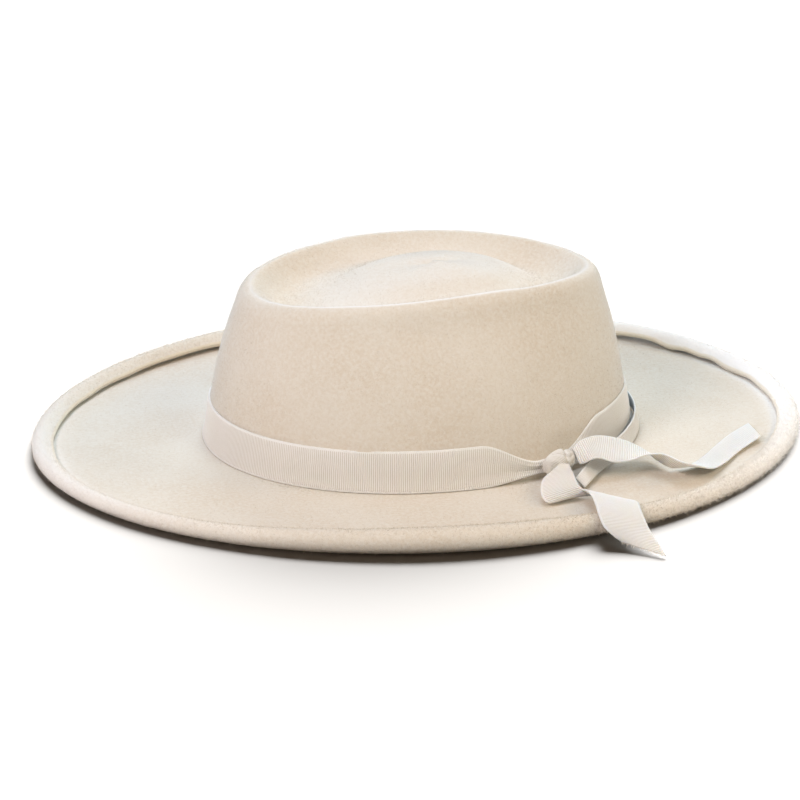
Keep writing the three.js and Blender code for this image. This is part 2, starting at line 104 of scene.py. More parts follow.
# Columns round the hat, and fine rows between two rows of the tables above
FELT_COLUMNS = 400
SPAN_STEPS = 3
OTHER_SPAN_STEPS = {0: 5, 11: 4, 12: 4, 13: 4, 14: 4, 15: 4, 19: 5, 20: 5, 21: 5, 22: 5}
# Fine rows from just inside the crown's rim to its foot, first one of the crest, number in the flange
WALL_GRID_ROWS, CREST_FROM, FLANGE_ROWS = slice(33, 65), 9, 7
# Heights of the felt's dents and ripples, and how the raw edge wanders, flutters and sags
DENT, RIPPLE = 0.45, 0.12
EDGE_WANDER, EDGE_FLUTTER, EDGE_SAG = 0.9, 0.4, 0.5
# Directions in degrees, swell and height of the rounded raw edge
LIP_TURNS, LIP_BULGE, LIP_HEIGHT = [60, 25, -25, -60], 0.45, 1.04

HALF = FELT / 2
FOOT_A, FOOT_B = CROWN_LENGTH / 2 - HALF, CROWN_WIDTH / 2 - HALF
BRIM_LEVEL = HALF + BRIM_RISE
BRIM_TOP = BRIM_LEVEL + HALF

# The crown's middle in the frame, from where the felt lies there
low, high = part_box("felt_body")
CROWN_MIDDLE = np.array([
    (low[0] + high[0]) / 2 / MM - BRIM_SHIFT_X,
    (low[1] + high[1]) / 2 / MM - BRIM_SHIFT_Y,
    0.0,
])


def oval(angle, half_length, half_width, roundness):
    c, s = np.cos(angle), np.sin(angle)
    pull = (np.abs(c) ** roundness + np.abs(s) ** roundness) ** (-1 / roundness)
    return half_length * c * pull, half_width * s * pull


def wheel(values, angle):
    """Even wave through values spaced evenly round the hat."""
    count = len(values)
    total = 0 * angle
    for k in range(count // 2 + 1):
        weight = 1 if k in (0, count // 2) else 2
        for i, value in enumerate(values):
            away = angle - 2 * np.pi * i / count
            total = total + weight * value * np.cos(k * away) / count
    return total


def rim_wave(angle):
    return (-RIM_DIP * np.cos(2 * angle) + RIM_LEAN_X * np.cos(angle)
            + RIM_LEAN_Y * np.sin(angle) + RIM_SKEW * np.sin(2 * angle))


def curl_size(angle):
    return CURL_HEIGHT * wheel(CURL_SHARES, angle)


def meridians(angle):
    """Middle of the felt from the dome to the cut edge, rows by angles by 3."""
    rim_a, rim_b, rim_top = RIM_LENGTH / 2, RIM_WIDTH / 2, RIM_HEIGHT - HALF
    levels = {"dome": DOME_HEIGHT - HALF, "moat": rim_top - MOAT_DEPTH, "rim": rim_top}
    rows = []
    for out, side, level, drop, wave, shift in DOME_ROWS:
        x, y = oval(angle, rim_a * out, rim_b * side, RIM_ROUND)
        taper = 1 - RIM_TAPER * np.cos(angle) * min(1, out * 1.3)
        z = levels[level] - drop + wave * rim_wave(angle)
        rows.append((x + DOME_SHIFT * shift + RIM_SHIFT * (1 - shift), y * taper, z))
    for height, n in WALL_ROWS:
        a = FOOT_A * (1 - n) + rim_a * WALL_TOP_LENGTH * n
        b = FOOT_B * (1 - n) + rim_b * WALL_TOP_WIDTH * n
        x, y = oval(angle, a, b, FOOT_ROUND * (1 - n) + RIM_ROUND * n)
        z = BRIM_LEVEL + (rim_top - BRIM_LEVEL) * height + height ** 1.5 * rim_wave(angle)
        rows.append((x + RIM_SHIFT * n, y * (1 - RIM_TAPER * n * np.cos(angle)), z))
    for turn in np.radians(FOOT_TURNS):
        out = FOOT_RADIUS * (1 + np.cos(turn))
        x, y = oval(angle, FOOT_A + out, FOOT_B + out, FOOT_ROUND)
        rows.append((x, y, BRIM_LEVEL + FOOT_RADIUS * (1 + np.sin(turn)) + 0 * angle))
    roll = (curl_size(angle) - FELT) / 2
    edge_a, edge_b = BRIM_LENGTH / 2 - HALF - roll, BRIM_WIDTH / 2 - HALF - roll
    for f, rise in BRIM_ROWS:
        a = (FOOT_A + FOOT_RADIUS) * (1 - f) + edge_a * f
        b = (FOOT_B + FOOT_RADIUS) * (1 - f) + edge_b * f
        x, y = oval(angle, a, b, FOOT_ROUND * (1 - f) + BRIM_ROUND * f)
        z = HALF + BRIM_RISE * rise + 0 * angle
        rows.append((x + f * BRIM_SHIFT_X, y + f * BRIM_SHIFT_Y, z))

    def edge(out, up):
        x, y = oval(angle, edge_a + out, edge_b + out, BRIM_ROUND)
        rows.append((x + BRIM_SHIFT_X, y + BRIM_SHIFT_Y, HALF + up))

    for turn in np.radians(CURL_ANGLES):
        edge(roll * np.cos(turn), roll * (1 + np.sin(turn)))
    last = math.radians(CURL_ANGLES[-1])
    last_out, last_up = roll * math.cos(last), roll * (1 + math.sin(last))
    reach = FLANGE_WIDTH + last_out
    for share in (0.5, 1.0):
        edge(last_out - reach * share, last_up - reach * share * FLANGE_FALL)
    return np.stack([np.stack(np.broadcast_arrays(*r), axis=-1) for r in rows])


def through(points, steps):
    """Smooth curve through rows of points, each span cut into its number of steps."""
    points = np.asarray(points, float)
    gaps = np.linalg.norm(np.diff(points, axis=0), axis=-1)
    while gaps.ndim > 1:
        gaps = gaps.mean(axis=-1)
    knots = np.concatenate([[0], np.cumsum(np.maximum(gaps, 1e-6) ** 0.5)])
    padded = np.concatenate([[2 * points[0] - points[1]], points, [2 * points[-1] - points[-2]]])
    t = np.concatenate([[2 * knots[0] - knots[1]], knots, [2 * knots[-1] - knots[-2]]])
    result = []
    for i in range(len(points) - 1):
        p0, p1, p2, p3 = padded[i:i + 4]
        t0, t1, t2, t3 = t[i:i + 4]
        for k in range(steps[i]):
            at = t1 + (t2 - t1) * k / steps[i]
            a1 = p0 * ((t1 - at) / (t1 - t0)) + p1 * ((at - t0) / (t1 - t0))
            a2 = p1 * ((t2 - at) / (t2 - t1)) + p2 * ((at - t1) / (t2 - t1))
            a3 = p2 * ((t3 - at) / (t3 - t2)) + p3 * ((at - t2) / (t3 - t2))
            b1 = a1 * ((t2 - at) / (t2 - t0)) + a2 * ((at - t0) / (t2 - t0))
            b2 = a2 * ((t3 - at) / (t3 - t1)) + a3 * ((at - t1) / (t3 - t1))
            result.append(b1 * ((t2 - at) / (t2 - t1)) + b2 * ((at - t1) / (t2 - t1)))
    result.append(points[-1])
    return np.array(result)


def smoothstep(x):
    x = np.clip(x, 0, 1)
    return x * x * (3 - 2 * x)


def unit(v):
    return v / np.maximum(np.linalg.norm(v, axis=-1, keepdims=True), 1e-9)


def waves(seed, count, longest, shortest):
    """Gentle irregularity in space: a sum of slanting waves, about -1 to 1."""
    source = np.random.default_rng(seed)
    directions = unit(source.normal(size=(count, 3)))
    lengths = longest * (shortest / longest) ** source.random(count)
    phases = source.random(count) * 2 * np.pi

    def at(points):
        total = np.zeros(points.shape[:-1])
        for direction, length, phase in zip(directions, lengths, phases):
            total += np.sin(points @ direction * 2 * np.pi / length + phase)
        return total / math.sqrt(count)

    return at


def link_piece(name, mesh):
    piece = bpy.data.objects.new(name, mesh)
    bpy.context.scene.collection.objects.link(piece)
    return piece


def make_mesh(name, points, faces, values=None, smooth=True):
    """A piece from points in millimetres round the crown's middle."""
    mesh = bpy.data.meshes.new(name)
    points = (np.asarray(points).reshape(-1, 3) + CROWN_MIDDLE) * MM
    sets = [np.asarray(f, np.int32) for f in (faces if isinstance(faces, list) else [faces])]
    sizes = np.concatenate([np.full(len(f), f.shape[1], np.int32) for f in sets])
    corners = np.concatenate([f.ravel() for f in sets])
    mesh.vertices.add(len(points))
    mesh.vertices.foreach_set("co", points.astype(np.float32).ravel())
    mesh.loops.add(len(corners))
    mesh.loops.foreach_set("vertex_index", corners)
    mesh.polygons.add(len(sizes))
    mesh.polygons.foreach_set("loop_start", np.cumsum(sizes, dtype=np.int32) - sizes)
    mesh.polygons.foreach_set("use_smooth", np.full(len(sizes), smooth))
    for key, data in (values or {}).items():
        layer = mesh.attributes.new(key, "FLOAT", "POINT")
        layer.data.foreach_set("value", np.asarray(data, np.float32).ravel())
    mesh.update(calc_edges=True)
    mesh.validate()
    return link_piece(name, mesh)


def grid_faces(rows, columns):
    """Quads between rows of points that close on themselves."""
    r = np.arange(rows - 1)[:, None]
    c = np.arange(columns)[None, :]
    a = r * columns + c
    b = r * columns + (c + 1) % columns
    return np.stack([a, a + columns, b + columns, b], axis=-1).reshape(-1, 4)


def cap_faces(rows, columns):
    """Triangles that close the first and last row on the two points after the grid."""
    c = np.arange(columns)
    n = (c + 1) % columns
    first_pole, last_pole, last = rows * columns, rows * columns + 1, (rows - 1) * columns
    return np.concatenate([
        np.stack([np.full_like(c, first_pole), c, n], axis=-1),
        np.stack([np.full_like(c, last_pole), last + n, last + c], axis=-1),
    ])


# Felt
def felt_rows():
    """Angles round the hat and the fine rows of the felt's middle there."""
    angle = np.arange(FELT_COLUMNS) / FELT_COLUMNS * 2 * np.pi
    middle = meridians(angle)
    steps = [OTHER_SPAN_STEPS.get(i, SPAN_STEPS) for i in range(len(middle) - 1)]
    return angle, through(middle, steps)


def felt_normals(surface):
    along = np.gradient(surface, axis=0)
    around = np.roll(surface, -1, axis=1) - np.roll(surface, 1, axis=1)
    normal = unit(np.cross(along, around))
    normal[0] = (0, 0, 1)
    return normal


felt_angle, felt_middle = felt_rows()
felt_normal = felt_normals(felt_middle)
dents = waves(3, 9, 150, 60)
ripples = waves(5, 14, 40, 14)


def around_waves(angle, seed, slowest, fastest, count):
    """Irregular wave round the hat, about -1 to 1."""
    source = np.random.default_rng(seed)
    turns = source.integers(slowest, fastest, count)
    phases = source.random(count) * 2 * np.pi
    return sum(np.sin(k * angle + phase) for k, phase in zip(turns, phases)) / math.sqrt(count)


def near_angle(angle, middle, reach):
    """1 at an angle, 0 past its reach, both in degrees."""
    away = np.abs((np.degrees(angle) - middle + 540) % 360 - 180)
    return smoothstep(1 - away / reach)


def wrinkles(points):
    """Small creases in the brim under the right end of the ribbon."""
    lift = 0 * points[..., 0]
    for x, y, turn, length, width, height in WRINKLES:
        dx, dy = points[..., 0] - x, points[..., 1] - y
        c, q = math.cos(math.radians(turn)), math.sin(math.radians(turn))
        along, off = dx * c + dy * q, dy * c - dx * q
        bent = off + WRINKLE_BEND * along ** 2
        lift = lift + height * np.exp(-(along / length) ** 2 - (bent / width) ** 2)
    return lift


def painted_highlight_side(turn):
    """How much whiter the rim's nap is painted at an angle, as painted highlight: most at the right, some
    at the left.
    """
    return near_angle(turn, 10, 95) + 0.6 * near_angle(turn, 190, 60)


def brim_share(points):
    """How far out points lie: 1 at the brim's outline."""
    x = (points[..., 0] - BRIM_SHIFT_X) / (BRIM_LENGTH / 2)
    y = (points[..., 1] - BRIM_SHIFT_Y) / (BRIM_WIDTH / 2)
    return np.hypot(x, y)


def painted_highlight_share(points, crown_rows):
    """How much whiter the nap is painted, as painted highlight where light grazes it: on the rim, over the
    dome and along the crown's crest.
    """
    out = brim_share(points)
    turn = np.arctan2(points[:, 1], points[:, 0])
    # Painted highlight on the rim and over the dome's top.
    painted_highlight = smoothstep((out - 0.9) / 0.06) * painted_highlight_side(turn)
    painted_highlight += 0.25 * smoothstep((0.36 - out) / 0.12) * smoothstep((points[:, 2] - 50) / 10)
    crest = CREST_FROM + np.median(np.argmax(crown_rows[CREST_FROM:, :, 2], axis=0))
    # Painted highlight along the crown's crest, strongest on the near side.
    crest_highlight = np.exp(-((np.arange(1, len(crown_rows))[:, None] - crest) / 0.9) ** 2)
    crest_highlight = crest_highlight * (0.25 + 0.75 * near_angle(felt_angle, 265, 130))
    painted_highlight[:crest_highlight.size] += crest_highlight.ravel()
    return painted_highlight


def felt_piece():
    """The whole felt: upper face, rounded raw edge and under face, closed at both poles."""
    middle = felt_middle.copy()
    height = middle[..., 2]
    free = np.clip((height - 4) / 10, 0, 1)
    middle += felt_normal * (free * (DENT * dents(middle) + RIPPLE * ripples(middle)))[..., None]
    flange = len(middle) - FLANGE_ROWS
    ramp = smoothstep(np.arange(FLANGE_ROWS) / (FLANGE_ROWS - 1))[:, None]
    far_right = 0.3 + 1.0 * near_angle(felt_angle, 45, 60)
    wander = around_waves(felt_angle, 21, 9, 48, 8) * far_right
    flutter = around_waves(felt_angle, 22, 14, 60, 8) * far_right
    inwards = unit(middle[-1] - middle[-4])
    middle[flange:] += inwards * (ramp * EDGE_WANDER * wander)[..., None]
    middle[flange:, :, 2] += ramp * (EDGE_FLUTTER * flutter - EDGE_SAG)
    normal = felt_normals(middle)
    upper = middle + normal * HALF
    upper[..., 2] += np.where(upper[..., 2] < WRINKLE_LEVEL, wrinkles(upper), 0)
    under = middle - normal * HALF
    under[..., 2] = np.maximum(under[..., 2], 0)
    under[flange:, :, 2] = np.maximum(under[flange:, :, 2], FELT + 0.1)
    outwards = unit(middle[-1] - middle[-2])
    lip = []
    for turn in np.radians(LIP_TURNS):
        bulge = LIP_BULGE * math.cos(turn)
        lip.append(middle[-1] + normal[-1] * HALF * LIP_HEIGHT * math.sin(turn) + outwards * bulge)
    loop = np.concatenate([upper[1:], np.array(lip), under[:0:-1]])
    rows = len(loop)
    points = np.concatenate([loop.reshape(-1, 3), [upper[0, 0]], [under[0, 0]]])
    cut = np.zeros((rows, FELT_COLUMNS))
    first_lip = len(upper) - 1
    cut[first_lip - 1:first_lip + len(LIP_TURNS) + 2] = 1
    faces = [grid_faces(rows, FELT_COLUMNS), cap_faces(rows, FELT_COLUMNS)]
    # Attributes: the cut edge, and the share of painted highlight.
    return make_mesh("felt", points, faces, {
        "cut": np.append(cut.ravel(), [0, 0]), "painted_highlight": painted_highlight_share(points, upper)})


felt = felt_piece()

# Ribbon
wall_grid = felt_middle + felt_normal * HALF


def crown_wall(angle_degrees, z):
    """Outer side of the crown at angles and heights, with the level outward direction."""
    angle_degrees, z = np.broadcast_arrays(np.asarray(angle_degrees, float), np.asarray(z, float))
    flat_angle, flat_z = angle_degrees.ravel() % 360, z.ravel()
    column = flat_angle / 360 * FELT_COLUMNS
    low_column = np.floor(column).astype(int)
    share = column - low_column
    found = []
    for c in (low_column % FELT_COLUMNS, (low_column + 1) % FELT_COLUMNS):
        xy = np.empty((len(flat_z), 2))
        for value in np.unique(c):
            pick = c == value
            line = wall_grid[WALL_GRID_ROWS, value]
            order = np.argsort(line[:, 2])
            for k in (0, 1):
                xy[pick, k] = np.interp(flat_z[pick], line[order, 2], line[order, k])
        found.append(xy)
    xy = found[0] * (1 - share)[:, None] + found[1] * share[:, None]
    px, py = xy[:, 0] / CROWN_LENGTH ** 2, xy[:, 1] / CROWN_WIDTH ** 2
    out = unit(np.stack([px, py, 0 * px], axis=-1))
    points = np.concatenate([xy, flat_z[:, None]], axis=1)
    return points.reshape(z.shape + (3,)), out.reshape(z.shape + (3,))


def plan_point(angle_degrees, f):
    """Point at an angle, from the crown's foot at 0 to the brim's outline at 1."""
    a = CROWN_LENGTH / 2 * (1 - f) + BRIM_LENGTH / 2 * f
    b = CROWN_WIDTH / 2 * (1 - f) + BRIM_WIDTH / 2 * f
    x, y = oval(np.radians(angle_degrees), a, b, FOOT_ROUND * (1 - f) + BRIM_ROUND * f)
    return np.array([x + f * BRIM_SHIFT_X, y + f * BRIM_SHIFT_Y, 0.0])


BAND_FOOT = BRIM_TOP + CLEAR
# Share of the band's height that the gathers close on, and the knot's middle above it
BAND_MIDDLE, KNOT_LIFT = 0.21, 4.4
# How far the band and its gathers stand off the crown, and then the knot with its folds
BAND_OFF, GATHER_OFF = 0.85, 0.9
KNOT_STAND = BAND_OFF + GATHER_OFF + RIBBON_THICK + 2 * CLEAR
KNOT_FULL_DEPTH = KNOT_DEPTH * 1.07
KNOT_FRONT = KNOT_STAND + KNOT_FULL_DEPTH

knot_root, knot_out = crown_wall(KNOT_ANGLE, BAND_FOOT + BAND_HEIGHT * BAND_MIDDLE + KNOT_LIFT)
knot_up = np.array([0.0, 0.0, 1.0])
knot_side = unit(np.cross(knot_up, knot_out))
knot_middle = knot_root + knot_out * (KNOT_STAND + KNOT_FULL_DEPTH / 2)

# Stations of the tails and the second layer. Angle: degrees round the hat. Out: 0 at the crown's foot, 1 at
# the brim's outline. Up: ribbon widths above the brim. Over: share of the curl's height to climb. Turn and
# tip: level and upward degrees of the direction across. Wide: share of the width. Along and clear: shifts
# beside the knot and out to its front.
TAIL_STEPS = 8
UPPER_TAIL = [
    (295, 0, 0.47, 0, -74, -44, 0.4, 1.04, 0.72),
    (295, 0, 0.62, 0, -88, -16, 0.74, 1.6, 0.88),
    (304.1, 0.167, 0.6, 0, -101, -9, 1, 0, 0),
    (307, 0.218, 0.5, 0, -104, -13, 1, 0, 0),
    (310.8, 0.27, 0.38, 0, -108, -2, 1, 0, 0),
    (312.8, 0.34, 0.33, 0, -107, 16, 1, 0, 0),
    (312.3, 0.446, 0.31, 0, -99, 29, 1, 0, 0),
    (310.7, 0.596, 0.28, 0, -95, 29, 1, 0, 0),
    (313.4, 0.66, 0.19, 0, -94, 20, 1, 0, 0),
    (318.4, 0.66, 0.06, 0, -94, 7, 1, 0, 0),
    (324.3, 0.65, 0.01, 0, -92, 2, 1, 0, 0),
    (331.4, 0.665, 0, 0, -94, 0, 1, 0, 0),
    (338.4, 0.75, 0.04, 0, -93, 3, 1, 0, 0),
]
LOWER_TAIL = [
    (295, 0, 0.44, 0, -12, 0, 0.22, -0.16, 1.0),
    (295, 0, 0.395, 0, -6, 3, 0.42, -0.6, 1.22),
    (289.6, 0.262, 0.33, 0, -2, 5, 0.68, 0, 0),
    (287.5, 0.351, 0.26, 0, 3, 8, 0.84, 0, 0),
    (286.4, 0.44, 0.18, 0, 10, 9, 0.92, 0, 0),
    (287.1, 0.464, 0.1, 0, 13, 8, 0.95, 0, 0),
    (289.5, 0.45, 0.045, 0, 6, 3, 0.97, 0, 0),
    (291.8, 0.47, 0.035, 0, -14, -2, 1, 0, 0),
    (292.8, 0.533, 0.07, 0, -28, -4, 1.05, 0, 0),
    (292.3, 0.623, 0.17, 0, -31, -7, 1.08, 0, 0),
    (290.1, 0.798, 0.325, 0, -26, -4, 1.04, 0, 0),
    (287.9, 0.955, 0.06, 1, -22, -4, 1, 0, 0),
    (286.5, 1.08, 0.01, 1, -17, -4, 1, 0, 0),
    (285.8, 1.186, 0, 0.62, -16, -4, 1, 0, 0),
    (285.8, 1.274, 0, 0.2, -29, -3, 1, 0, 0),
    (285.9, 1.361, -0.08, 0, -44, -5, 1.08, 0, 0),
]
OUTER_PLY = [
    (385, 0.043, 0.178, 0, 25, -84, 0.8, 0, 0),
    (371.6, 0.042, 0.178, 0, 12, -82, 0.8, 0, 0),
    (360, 0.042, 0.178, 0, 0, -80, 0.8, 0, 0),
    (349, 0.044, 0.176, 0, -11, -77, 0.8, 0, 0),
    (337.4, 0.05, 0.174, 0, -22, -73, 0.8, 0, 0),
    (325.1, 0.064, 0.17, 0, -34, -67, 0.8, 0, 0),
    (312.8, 0.1, 0.165, 0, -46, -57, 0.78, 0, 0),
    (302.4, 0.179, 0.15, 0, -55, -42, 0.72, 0, 0),
    (293.6, 0.32, 0.13, 0, -57, -28, 0.68, 0, 0),
]


def stations(table):
    """Middle, direction across and width share at each station of a table."""
    result = []
    for angle, out, up, over, turn, tip, wide, along, clear in table:
        point = (plan_point(angle, out) + knot_side * along * KNOT_LENGTH / 2
                 + knot_out * clear * KNOT_FRONT)
        climb = (float(curl_size(np.radians(angle))) - BRIM_TOP) * over
        point[2] = BRIM_TOP + CLEAR + RIBBON_THICK / 2 + RIBBON_WIDTH * up + climb
        turn, tip = math.radians(turn), math.radians(tip)
        across = (math.cos(tip) * math.cos(turn), math.cos(tip) * math.sin(turn), math.sin(tip))
        result.append([*point, *across, wide])
    return np.array(result)


def lengths_along(line):
    steps = np.linalg.norm(np.diff(line[:, :3], axis=0), axis=1)
    return np.concatenate([[0], np.cumsum(steps)])


def evenly(line, spacing):
    """Rows resampled so that their points lie evenly along the curve."""
    length = lengths_along(line)
    count = max(8, int(length[-1] / spacing))
    at = np.linspace(0, length[-1], count + 1)
    return np.stack([np.interp(at, length, line[:, k]) for k in range(line.shape[1])], axis=1), at


# Points across a ribbon from edge to edge, where its selvedge begins, and its very edge
ACROSS = np.array([-1, -0.965, -0.93, -0.75, -0.5, -0.25, 0, 0.25, 0.5, 0.75, 0.93, 0.965, 1.0])
SELVEDGE_FROM, EDGE_FROM = 0.94, 0.99
# Each strip's cut length and area, and what the frayed ends need to know of it, by its name
cut_lengths, cut_areas, cut_ends = {}, {}, {}


def ribbed_strip(name, line, half_width):
    """A ribbon along a line of stations, with its ribs and its flat selvedges."""
    rows, run = evenly(line, RIB_PITCH / 4)
    middle, across, wide = rows[:, :3], unit(rows[:, 3:6]), rows[:, 6]
    along = unit(np.gradient(middle, axis=0))
    along = unit(along - across * np.sum(along * across, axis=1, keepdims=True))
    face = unit(np.cross(along, across))
    u = ACROSS
    inner = np.abs(u) < SELVEDGE_FROM
    reach = (half_width * wide)[:, None] * u[None, :]
    base = middle[:, None] + across[:, None] * reach[..., None]
    rib = 0.5 + 0.5 * np.cos(2 * np.pi * run / RIB_PITCH)
    loops = 0.5 + 0.5 * np.cos(2 * np.pi * run / RIB_PITCH + np.pi)
    depth = CLOTH / 2 * np.where(inner, 1.0, SELVEDGE_SHARE)[None, :]
    depth = depth + RIB_DEPTH * rib[:, None] * inner[None, :]
    edge_side = np.sign(u) * (np.abs(u) > EDGE_FROM)
    base += across[:, None] * (LOOP_DEPTH * loops[:, None] * edge_side[None, :])[..., None]
    outer = base + face[:, None] * depth[..., None]
    back = base - face[:, None] * depth[..., None]
    loop = np.concatenate([outer, back[:, ::-1]], axis=1)
    size = loop.shape[1]
    half = size // 2
    end_faces = []
    last = (len(rows) - 1) * size
    for c in range(half - 1):
        far = size - 1 - c
        end_faces.append((c, c + 1, far - 1, far))
        end_faces.append((last + c, last + far, last + far - 1, last + c + 1))
    faces = [grid_faces(len(rows), size), np.array(end_faces)]
    side = np.tile(np.concatenate([u, u[::-1]]), len(rows))
    runs = np.repeat(run, size)
    # 1 on the strip's back side, where the outer ply gets its painted shade
    painted_back_shade = np.tile(np.repeat([0.0, 1.0], half), len(rows))
    cut_lengths[name] = run[-1]
    cut_areas[name] = float(np.sum(2 * half_width * (wide[:-1] + wide[1:]) / 2 * np.diff(run)))
    cut_ends[name] = middle[-1], across[-1] * half_width * wide[-1], along[-1], face[-1]
    return make_mesh(name, loop, faces, {"across": side, "run": runs, "painted_back_shade": painted_back_shade})


def tail(name, table, width):
    line = through(stations(table), [TAIL_STEPS] * (len(table) - 1))
    return ribbed_strip(name, line, width / 2)


outer_ply = tail("ribbon_under_layer", OUTER_PLY, PLY_HEIGHT)
tail_upper = tail("ribbon_end_right", UPPER_TAIL, RIBBON_WIDTH)
tail_lower = tail("ribbon_end_front", LOWER_TAIL, RIBBON_WIDTH)

# Degrees fully gathered beside the knot, then degrees of easing to its left and right
GATHER_HOLD, GATHER_LEFT, GATHER_RIGHT = 3, 17, 18
# How much narrower the gathers make the band, and how high the band climbs right of the knot
GATHER_SHARE, BAND_CLIMB = 0.73, 2.2
BAND_ACROSS = np.array([0, 0.012, 0.03, 0.1, 0.19, 0.28, 0.37, 0.46,
                        0.55, 0.64, 0.73, 0.82, 0.9, 0.97, 0.988, 1.0])
# Shares of the band's height and how far it stands off the crown there, over the least
BAND_STAND, BAND_LEAST = ([0, 0.28, 0.64, 1], [0.75, 0.15, 0.05, 0.1]), 0.15


def gathered(angle_degrees):
    """1 beside the knot, 0 where the band is plain."""
    away = angle_degrees - KNOT_ANGLE
    left = smoothstep(1 + (away + GATHER_HOLD) / GATHER_LEFT)
    return np.where(away < 0, left, smoothstep(1 - (away - GATHER_HOLD) / GATHER_RIGHT))


def band_rise(angle_degrees):
    return BAND_CLIMB * near_angle(np.radians(angle_degrees), 335, 40)


def band_piece():
    """The ribbon round the crown, a closed loop with a whole number of ribs."""
    dense = np.linspace(0, 360, 1441)[:-1]
    path, _ = crown_wall(dense, BAND_FOOT + BAND_HEIGHT / 2)
    length = lengths_along(np.concatenate([path, path[:1]]))
    ribs = round(length[-1] / RIB_PITCH)
    run = np.arange(ribs * 4) / 4 * length[-1] / ribs
    angle = np.interp(run, length, np.append(dense, 360))
    u = BAND_ACROSS
    inner = (u > 0.02) & (u < 0.98)
    pull = gathered(angle)[:, None]
    up = BAND_MIDDLE + (u[None, :] - BAND_MIDDLE) * (1 - GATHER_SHARE * pull)
    z = BAND_FOOT + BAND_HEIGHT * up + band_rise(angle)[:, None]
    wall, out = crown_wall(np.broadcast_to(angle[:, None], z.shape), z)
    off = BAND_LEAST + np.interp(up, *BAND_STAND)
    fold = 1.0 * pull * (0.5 + 0.5 * np.cos(u[None, :] * 3 * np.pi))
    fold = fold + 0.35 * pull * np.cos(u[None, :] * 9 * np.pi + angle[:, None] * 0.15)
    rib = (0.5 + 0.5 * np.cos(2 * np.pi * np.arange(len(run)) / 4))[:, None] * inner[None, :]
    loops = 0.5 - 0.5 * np.cos(2 * np.pi * np.arange(len(run)) / 4)
    base = wall + out * (off + fold)[..., None]
    base[:, 0, 2] -= LOOP_DEPTH * loops
    base[:, -1, 2] += LOOP_DEPTH * loops
    thick = CLOTH * np.where(inner, 1.0, SELVEDGE_SHARE)[None, :] + RIB_DEPTH * rib
    outer = base + out * thick[..., None]
    loop = np.concatenate([outer, base[:, ::-1]], axis=1)
    rows, size = loop.shape[:2]
    r, c = np.arange(rows)[:, None], np.arange(size)[None, :]
    a, b = r * size + c, r * size + (c + 1) % size
    d, e = (r + 1) % rows * size + c, (r + 1) % rows * size + (c + 1) % size
    faces = np.stack([a, d, e, b], axis=-1).reshape(-1, 4)
    side = np.tile(np.concatenate([2 * u - 1, 2 * u[::-1] - 1]), rows)
    cut_lengths["band"] = length[-1]
    return make_mesh("band", loop, faces, {"across": side, "run": np.repeat(run, size)})


band = band_piece()
KNOT_RINGS, KNOT_SIDES = 110, 160


def knot_piece():
    """The wrapped knot: a barrel of twisted folds that ends in a small frill."""
    rings, sides = KNOT_RINGS, KNOT_SIDES
    polar = np.arange(1, rings)[:, None] / rings * np.pi
    around = np.arange(sides)[None, :] / sides * 2 * np.pi
    twist = around + 1.25 * polar
    ruffle = smoothstep((polar - 1.95) / 0.3) * (1 + 0 * around)
    folds = 0.84 + 0.24 * np.abs(np.cos(1.5 * twist)) ** 0.8 + 0.05 * np.abs(np.sin(4 * twist + 0.6))
    frill = 0.94 + 0.13 * np.abs(np.cos(5 * around - 2 * polar)) ** 0.7
    waist = 1 - 0.2 * np.exp(-((polar - 1.98 + 0.15 * np.cos(around)) / 0.13) ** 2)
    wide = np.sin(polar) ** 0.62 * waist * (folds * (1 - ruffle) + frill * ruffle)
    points = (knot_middle
              + knot_side * (-np.cos(polar + 0 * around) * KNOT_LENGTH / 2)[..., None]
              + knot_up * ((np.sin(around) * wide - 0.12 * np.cos(polar)) * KNOT_HEIGHT / 2)[..., None]
              + knot_out * (np.cos(around) * wide * KNOT_DEPTH / 2)[..., None])
    poles = [points[0].mean(axis=0), points[-1].mean(axis=0)]
    points = np.concatenate([points.reshape(-1, 3), poles])
    run = (KNOT_HEIGHT / 2 * (twist * (1 - ruffle) + (around * 1.5 + 1.5) * ruffle)).ravel()
    faces = [grid_faces(rings - 1, sides), cap_faces(rings - 1, sides)]
    return make_mesh("knot", points, faces, {
        "across": np.zeros(len(points)), "run": np.append(run, [0, 0])})


knot = knot_piece()

# Share of a thread's length and its thickness there
THREAD_RINGS = ((0, 1.0), (0.35, 1.0), (0.7, 0.9), (1.0, 0.45))
# How far inside the cut a frayed thread starts, its shortest free length and its thickness
FRAY_ROOT, FRAY_LEAST, FRAY_THICK = 0.3, 0.35, 0.28


def threads(name, starts, ends, thickness, seed):
    """Short four-sided threads from starts to ends, bent a little."""
    source = np.random.default_rng(seed)
    heading = unit(ends - starts)
    side = unit(np.cross(heading, np.array([0.1, 0.2, 1.0]))) * thickness / 2
    up = unit(np.cross(heading, side)) * thickness / 2
    bend = source.normal(size=starts.shape) * thickness * 0.35
    rings = []
    for share, fat in THREAD_RINGS:
        at = starts + (ends - starts) * share + bend * math.sin(math.pi * share)
        rings.append(np.stack([at - side * fat, at - up * fat, at + side * fat, at + up * fat], axis=1))
    points = np.stack(rings, axis=1)
    first = np.arange(len(starts))[:, None] * 4 * len(THREAD_RINGS)
    quads = [first + [4 * r + k, 4 * r + (k + 1) % 4, 4 * r + 4 + (k + 1) % 4, 4 * r + 4 + k]
             for r in range(len(THREAD_RINGS) - 1) for k in range(4)]
    quads += [first + [3, 2, 1, 0], first + [12, 13, 14, 15]]
    return make_mesh(name, points, np.concatenate(quads))


